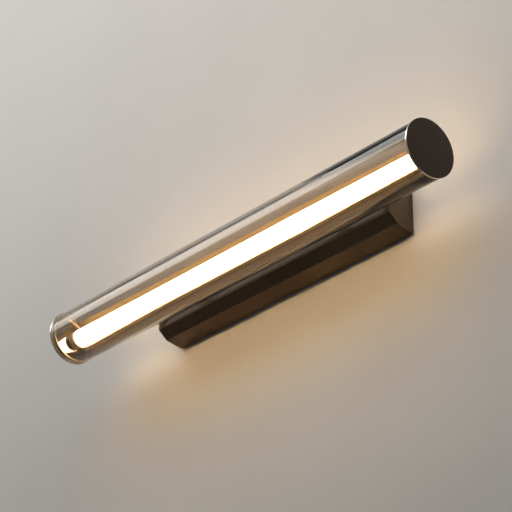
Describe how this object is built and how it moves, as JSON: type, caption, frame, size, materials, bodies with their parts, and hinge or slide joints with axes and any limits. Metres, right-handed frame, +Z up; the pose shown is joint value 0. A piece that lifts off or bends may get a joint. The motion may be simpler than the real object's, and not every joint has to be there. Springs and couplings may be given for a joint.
{
  "type": "tube wall light",
  "caption": "Clear smoky tube with a slim glowing opal lamp inside, capped with dark bronze discs and held off a dark chamfered wall bracket by two standoffs",
  "frame": {"origin": "midway between the two fixing holes of the wall plate, in the wall plane", "axes": "X along the tube, Y into the wall, Z up"},
  "size_m": [0.575, 0.1057, 0.0616],
  "materials": {
    "zinc_steel": "zinc plated",
    "black_rubber": "matt",
    "brass": "satin",
    "polished_brass": "polished",
    "black_bronze_paint": "satin powder coat",
    "bronze_paint": "fine satin coat",
    "fastener_steel": "bright",
    "alloy": "satin",
    "white_plastic": "matt",
    "black_plastic": "matt",
    "lead_insulation": "satin",
    "clear_washer": "natural",
    "smoky_clear": "clear with a slight smoke tint",
    "satin_diffuser": "satin",
    "pale_gasket": "translucent",
    "mirror": "polished",
    "opal_glow": "opal, lit",
    "led_glow": "lit"
  },
  "bodies": {
    "wall": {"wall_plate": "zinc_steel", "cable_grommet": "black_rubber", "earth_stud": "brass", "earth_nut": "brass"},
    "housing": {"bracket_housing": "black_bronze_paint", "bracket_end_left": "black_bronze_paint", "bracket_end_right": "black_bronze_paint", "end_dowels": "fastener_steel", "bracket_seal": "black_rubber", "locking_screws": "fastener_steel", "clamp_blocks": "alloy", "block_set_screws": "fastener_steel", "gear_tray": "zinc_steel", "tray_screws": "fastener_steel", "led_driver": "white_plastic", "driver_screws": "fastener_steel", "terminal_block": "white_plastic", "terminal_screws": "brass", "supply_leads": "lead_insulation", "slot_cover": "black_plastic", "standoffs": "black_bronze_paint", "standoff_locknuts": "fastener_steel", "outer_washers": "black_rubber", "inner_washers": "clear_washer", "carrier_nuts": "fastener_steel", "outer_tube": "smoky_clear", "rear_diffuser": "satin_diffuser", "lamp_carrier": "alloy", "lamp_leads": "lead_insulation", "holder_left": "brass", "holder_right": "brass", "holder_insert_left": "white_plastic", "holder_insert_right": "white_plastic", "holder_screws": "fastener_steel"},
    "cap_left": {"end_cap_left": "bronze_paint", "cap_gasket_left": "pale_gasket", "mirror_plate_left": "mirror", "spring_ring_left": "polished_brass"},
    "cap_right": {"end_cap_right": "bronze_paint", "cap_gasket_right": "pale_gasket", "mirror_plate_right": "mirror", "spring_ring_right": "polished_brass"},
    "lamp": {"lamp_tube": "opal_glow", "lamp_caps": "alloy", "lamp_pins": "brass", "heat_strip": "alloy", "led_boards": "white_plastic", "led_chips": "led_glow"}
  },
  "joints": [
    {"name": "housing_lift", "type": "slide", "parent": "wall", "child": "housing", "axis": [0, -1, 0], "range_m": [0, 0.03]},
    {"name": "cap_left_pull", "type": "slide", "parent": "housing", "child": "cap_left", "axis": [-1, 0, 0], "range_m": [0, 0.025]},
    {"name": "cap_right_pull", "type": "slide", "parent": "housing", "child": "cap_right", "axis": [1, 0, 0], "range_m": [0, 0.025]},
    {"name": "lamp_twist", "type": "hinge", "parent": "housing", "child": "lamp", "pos_m": [0, -0.06847, 0], "axis": [1, 0, 0], "range_deg": [0, 90]}
  ]
}
